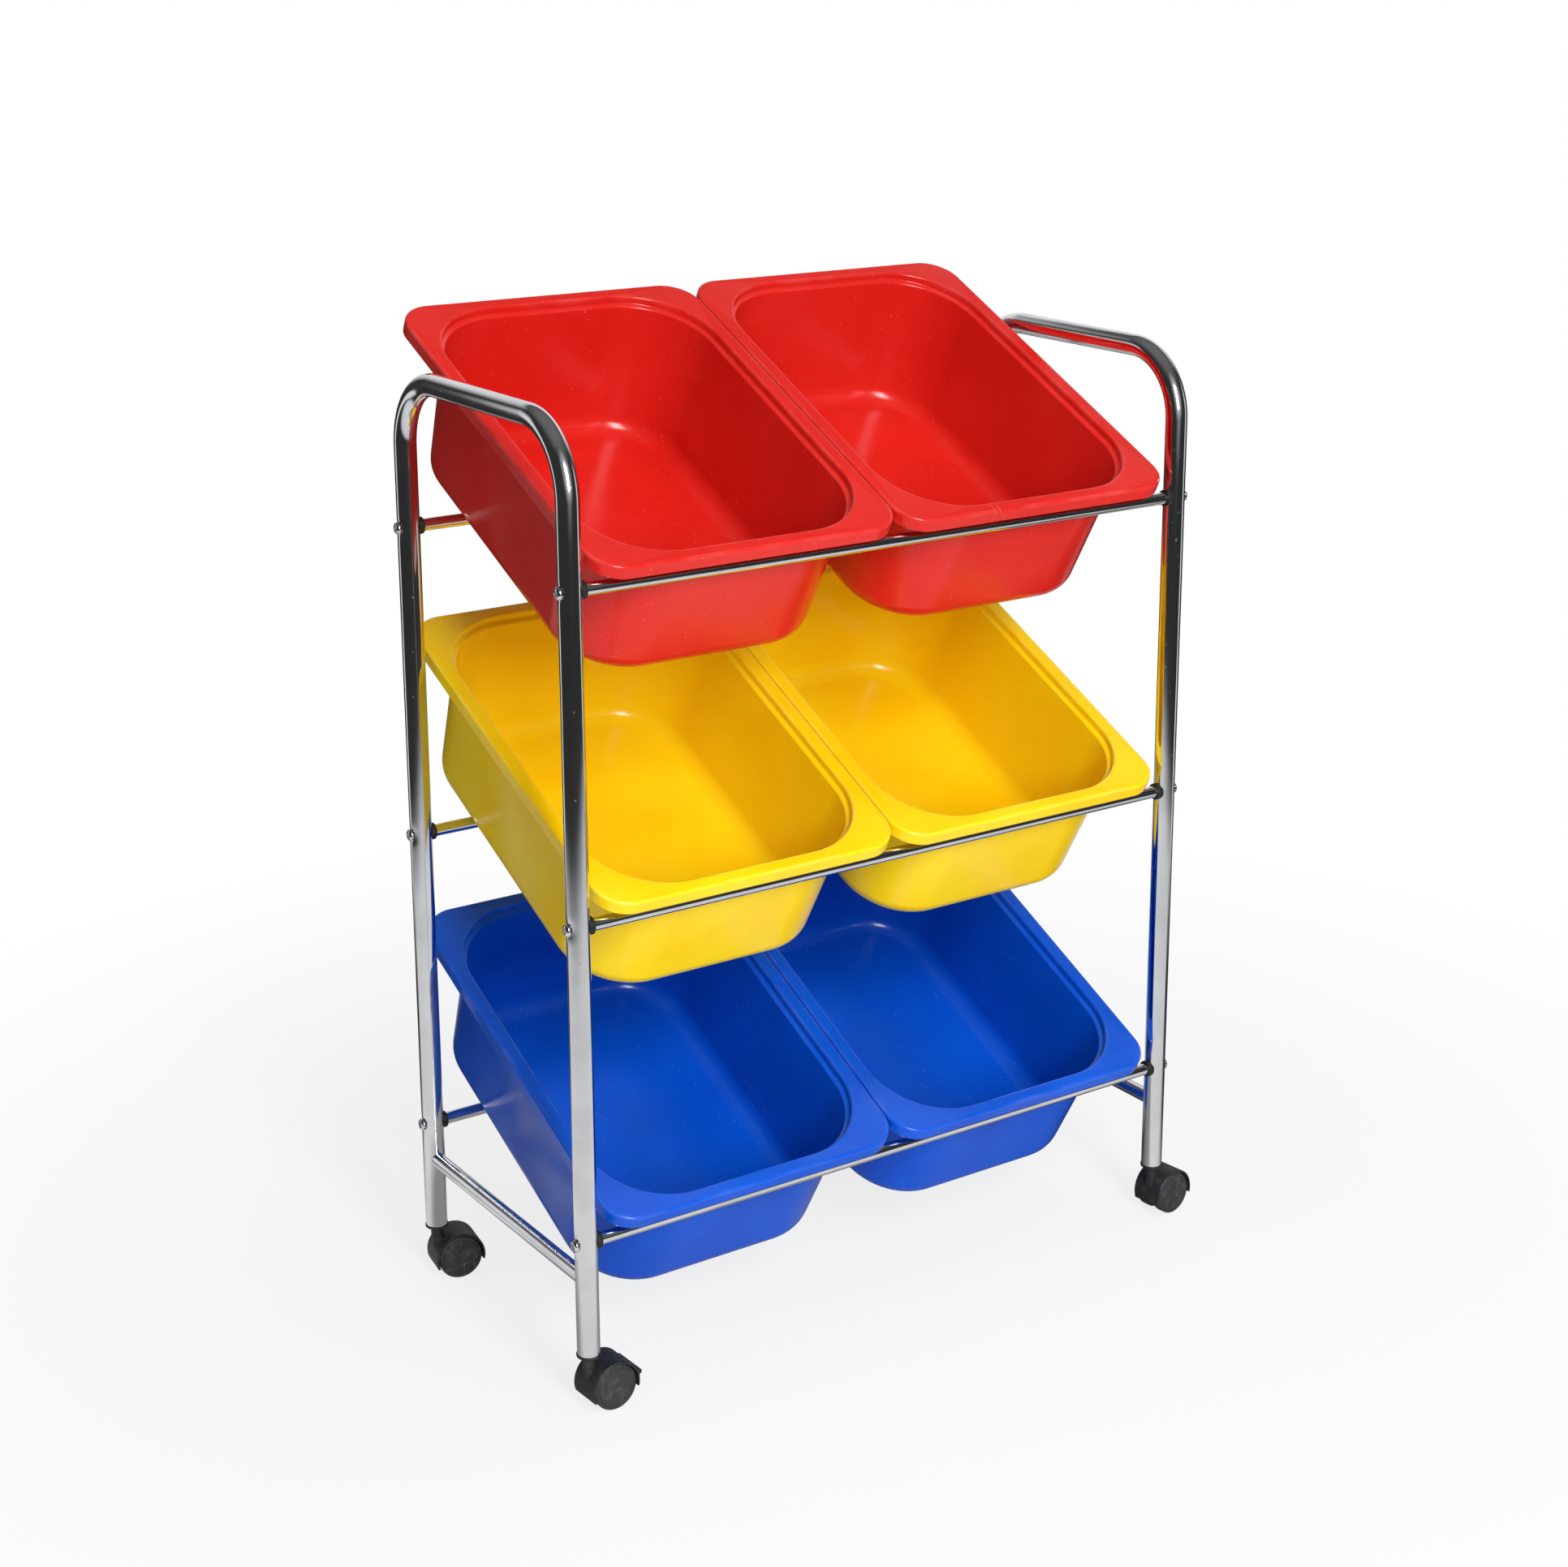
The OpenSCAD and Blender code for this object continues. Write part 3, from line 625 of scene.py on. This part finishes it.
finish_piece("button_head_screws", copies(carve(head, hexagon), screw_places), "chrome_screw",
             "frame", ["rail_screws"], bevel=0.15)

# Sockets: a flange under the leg's end, and a plug inside the leg, bored for the stem
FLANGE_R, FLANGE_H, FLANGE_ROUND, PLUG_TOP, PLUG_CHAMFER = 10.2, 2.3, 1.0, 32.3, 1.0
STEM_BORE_R, BORE_TOP = 4.05, 28.6
plug_r = TUBE_R - TUBE_WALL - FIT_GAP
socket = turned([(STEM_BORE_R, 0), (FLANGE_R - FLANGE_ROUND, 0)]
                + arc(FLANGE_R - FLANGE_ROUND, FLANGE_ROUND, FLANGE_ROUND, -90, 0, 4)
                + [(FLANGE_R, FLANGE_H), (plug_r, FLANGE_H), (plug_r, PLUG_TOP - PLUG_CHAMFER),
                   (plug_r - PLUG_CHAMFER, PLUG_TOP), (0, PLUG_TOP), (0, BORE_TOP),
                   (STEM_BORE_R, BORE_TOP), (STEM_BORE_R, 0)])
feet = [moved(sx * HALF_W, sy * HALF_D, FOOT_Z - FLANGE_H)
        for sx in SIDES.values() for sy in ENDS.values()]
finish_piece("leg_sockets", copies(socket, feet), "black_nylon", "frame", ["caster_sockets"])


# Casters: hood, stem, axle and lever keep the CAD shapes. The wheels are turned.
WHEEL_R, WHEEL_IN, WHEEL_OUT, BORE_R, TRAIL = 19.7, 4.8, 14.3, 2.7, 17.0


def from_cad(node, name, finish, body, bevel=0.0):
    """A smooth-shaded copy of a CAD node, with its flat parts joined and its edges eased."""
    bm = bmesh.new()
    bm.from_mesh(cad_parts[node].data)
    bmesh.ops.remove_doubles(bm, verts=bm.verts, dist=0.000002)
    bmesh.ops.dissolve_limit(bm, angle_limit=math.radians(0.4), verts=bm.verts, edges=bm.edges)
    bmesh.ops.scale(bm, vec=(1 / MM, 1 / MM, 1 / MM), verts=bm.verts)
    return finish_piece(name, bm, finish, body, [node], smooth=30, bevel=bevel)


def caster_wheel(matrix):
    """A hub and a drum on a web, with a dished disc in a rolled rim round a shallow groove.

    The wheel's axle lies along Z, with the disc uppermost, until the matrix places it."""
    hub_r, drum_r, groove_r = BORE_R + 2.6, WHEEL_R - 3.0, WHEEL_R - 3.1
    bore_end, dish = WHEEL_OUT - 1.95, 0.4
    web_z = bore_end - 1.0
    tread_round, rim_round, groove_round = 0.8, 1.8, 0.5
    profile = [(BORE_R, WHEEL_IN), (hub_r, WHEEL_IN), (hub_r, web_z), (drum_r, web_z),
               (drum_r, WHEEL_IN)]
    profile += arc(WHEEL_R - tread_round, WHEEL_IN + tread_round, tread_round, -90, 0, 3)
    profile += arc(WHEEL_R - rim_round, WHEEL_OUT - rim_round, rim_round, 0, 90, 6)
    profile += [(WHEEL_R - 2.4, WHEEL_OUT)]
    profile += arc(groove_r, WHEEL_OUT - 0.1, groove_round, 0, -180, 6)
    profile += [(groove_r - 0.8, WHEEL_OUT), (groove_r - 5, WHEEL_OUT - dish / 4),
                (0, WHEEL_OUT - dish), (0, bore_end), (BORE_R, bore_end), (BORE_R, WHEEL_IN)]
    bm = turned(profile, WHEEL_SIDES)
    bmesh.ops.transform(bm, matrix=matrix, verts=bm.verts)
    return bm


for corner, (sx, sy, turn) in CASTERS.items():
    body = f"{corner}_caster"
    on_axle = (moved(sx * HALF_W, sy * HALF_D, 0) @ turned_by(math.radians(turn), "Z")
               @ moved(TRAIL, 0, WHEEL_R))
    from_cad(f"{corner}_hood", f"{corner}_fork_hood", "black_nylon", body, bevel=0.3)
    from_cad(f"{corner}_stem", f"{corner}_swivel_stem", "steel", body)
    from_cad(f"{corner}_axle", f"{corner}_wheel_axle", "steel", body)
    for end, facing in ENDS.items():
        wheel = f"{corner}_{end}_wheel"
        bm = caster_wheel(on_axle @ turned_by(-facing * QUARTER_TURN, "X"))
        finish_piece(f"{wheel}_disc", bm, "black_nylon_wheel", wheel, [wheel], smooth=40)
    lever = f"{corner}_brake_lever"
    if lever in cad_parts:
        from_cad(lever, f"{corner}_toe_brake", "black_nylon", lever, bevel=0.3)
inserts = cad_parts["rail_inserts"]
inserts.data.materials.clear()
inserts.data.materials.append(FINISHES["steel"])


# The set: a pale floor and a dark dome, both glowing in parts as painted reflections for the
# chrome to mirror, lamps and camera.
# Lengths are in metres. Parts of the floor and the dome are placed by how far they lie towards
# the photograph's camera.
STUDIO_R = 4.0
TO_CAMERA, FROM_CAMERA = (-0.566, -0.824, 0), (0.566, 0.824, 0)
TO_KEY_LAMP = (-0.18, -0.84, 0.51)
WHITE, BLACK, FLOOR_GREY = rgb(1, 1, 1), rgb(0, 0, 0), rgb(0.7, 0.7, 0.7)
# What the dark parts of the set still give, and the even light on all that isn't mirrored
DARK, AMBIENT = 0.03, 0.37


def shell(name, bm, finish, hidden=()):
    """A piece of the set, hidden from some kinds of ray."""
    mesh = bpy.data.meshes.new(name)
    bm.to_mesh(mesh)
    bm.free()
    mesh.materials.append(finish.material)
    piece = bpy.data.objects.new(name, mesh)
    bpy.context.scene.collection.objects.link(piece)
    for ray in hidden:
        setattr(piece, f"visible_{ray}", False)


def only_camera(finish):
    """1 for rays from the camera, also through clear things."""
    seen = finish.node("ShaderNodeLightPath", out="Is Camera Ray")
    return seen.at_least(finish.node("ShaderNodeLightPath", out="Is Transmission Ray"))


def pale_floor():
    """White to the camera, with the cart's shadow, and glowing in parts as painted reflections.

    The glowing parts lie near the cart towards the camera, far out to its sides, and behind it.
    A painted shadow dims them under the cart, since the glow takes no real one.
    Bearing is 1 straight towards the camera, 0 at a right angle and -1 straight behind."""
    paving = Finish("pale_floor")
    spot = paving.node("ShaderNodeTexCoord", out="Object")
    away = paving.length(spot)
    ahead = paving.along(spot, TO_CAMERA)
    bearing = ahead / away.at_least(0.1)
    oval = paving.node("ShaderNodeVectorMath", {"operation": "MULTIPLY"},
                       {0: spot, 1: (0.6, 1.4, 0)})
    # Painted shadow: the mirrored glow falls to 0.35 of itself under the cart.
    outside_painted_cart_shadow = paving.length(oval).step(0.22, 0.36) * 0.65 + 0.35
    within = away.step(1.75, 1.15)
    near = within * ahead.step(-0.2, 0.05) * outside_painted_cart_shadow * (0.8 - away * 0.12)
    beside = bearing.step(-0.40, -0.32) * bearing.step(-0.08, -0.16) * away.step(0.9, 1.5) * 0.75
    behind = bearing.step(-0.60, -0.80) * within * outside_painted_cart_shadow * 0.5
    pale = near.at_least(beside).at_least(behind) + DARK
    seen = only_camera(paving)
    mirrored = paving.node("ShaderNodeLightPath", out="Is Glossy Ray")
    white = paving.node("ShaderNodeEmission", None, {"Color": WHITE, "Strength": 1.0})
    glow = paving.node("ShaderNodeMixShader", None, {0: seen + mirrored * pale, 2: white})
    matt = paving.node("ShaderNodeBsdfDiffuse", None, {"Color": FLOOR_GREY})
    share = mirrored + seen * (away.step(0.4, 1.3) * 0.2 + 0.8)
    paved = paving.node("ShaderNodeMixShader", None, {0: share, 1: matt, 2: glow})
    output = paving.tree.nodes["Material Output"]
    paving.tree.links.new(paved.socket, output.inputs["Surface"])
    return paving


def studio_dome():
    """Dark, with soft glowing parts high behind the cart and round the key lamp, a glowing strip
    low at each side, and a grey top: painted reflections, which only mirroring rays see.
    Behind and up run from -1 to 1."""
    dome = Finish("studio_dome", Roughness=1.0, Base_Color=BLACK, Emission_Strength=1.0)
    spot = dome.node("ShaderNodeTexCoord", out="Object")
    unit = dome.node("ShaderNodeVectorMath", {"operation": "NORMALIZE"}, {0: spot})
    behind = dome.along(unit, FROM_CAMERA)
    up = dome.part(unit, 2)
    # Each of these is a painted reflection: a glow for the cart's surfaces to mirror.
    painted_glow_behind = (behind + up).step(0.9, 1.33) * up.step(0.80, 0.64) * 0.8
    painted_side_strips = behind.step(0.08, 0.16) * behind.step(0.40, 0.32) * up.step(0.6, 0.3) * 0.75
    painted_grey_top = up.step(0.6, 1.0) * 0.12
    painted_key_halo = dome.along(unit, TO_KEY_LAMP).step(0.78, 0.99) * 0.4
    pale = painted_glow_behind.at_least(painted_side_strips).at_least(painted_grey_top).at_least(painted_key_halo) + DARK
    dome.drive("Emission Color", dome.mix(pale, BLACK, WHITE))
    return dome


bm = bmesh.new()
bmesh.ops.create_circle(bm, cap_ends=True, segments=64, radius=STUDIO_R)
shell("studio_floor", bm, pale_floor())
bm = bmesh.new()
bmesh.ops.create_uvsphere(bm, u_segments=64, v_segments=32, radius=STUDIO_R)
bmesh.ops.bisect_plane(bm, geom=bm.verts[:] + bm.edges[:] + bm.faces[:], plane_co=(0, 0, 0),
                       plane_no=(0, 0, -1), clear_outer=True)
shell("studio_dome", bm, studio_dome(),
      hidden=("camera", "diffuse", "shadow", "transmission", "volume_scatter"))

world = bpy.data.worlds.new("studio_air")
world.use_nodes = True
bpy.context.scene.world = world


class Air(Finish):
    """The world's nodes: white behind the set, and an even light on it that nothing mirrors."""

    def __init__(self, world):
        self.tree = world.node_tree
        self.shader = self.tree.nodes["Background"]


air = Air(world)
unmirrored = 1.0 - air.node("ShaderNodeLightPath", out="Is Glossy Ray")
air.drive("Strength", only_camera(air).at_least(unmirrored * AMBIENT))
air.shader.inputs["Color"].default_value = WHITE


def softbox(name, place, aim, size, watts):
    """A rectangular lamp, turned to a point."""
    lamp = bpy.data.lights.new(name, "AREA")
    lamp.shape, lamp.size, lamp.size_y, lamp.energy = "RECTANGLE", *size, watts
    box = bpy.data.objects.new(name, lamp)
    box.location = place
    box.rotation_euler = (Vector(aim) - Vector(place)).to_track_quat("-Z", "Y").to_euler()
    bpy.context.scene.collection.objects.link(box)
    return box


softbox("key_softbox", place=(-0.58, -2.62, 1.76), aim=(0, 0, 0.45), size=(0.75, 1.5), watts=91)
top = softbox("top_softbox", place=(0.3, -0.3, 3.2), aim=(0, 0, 0.4), size=(1.3, 0.9), watts=18)
top.visible_glossy = False

# The camera: solved from the photograph's legs and rails
CAMERA_PLACE = (-1.2489, -1.8411, 1.1705)
YAW, PITCH, ROLL = math.radians(34.469), math.radians(14.740), math.radians(0.057)
lens = bpy.data.cameras.new("photo_camera")
lens.lens, lens.sensor_width, lens.sensor_fit = 61.217, 36.0, "AUTO"
lens.shift_x, lens.shift_y = -0.020, -0.100
camera = bpy.data.objects.new("photo_camera", lens)
camera.matrix_world = (moved(*CAMERA_PLACE) @ turned_by(-YAW, "Z")
                       @ turned_by(QUARTER_TURN - PITCH, "X") @ turned_by(-ROLL, "Z"))
bpy.context.scene.collection.objects.link(camera)
bpy.context.scene.camera = camera
bpy.context.scene.view_settings.view_transform = "Standard"
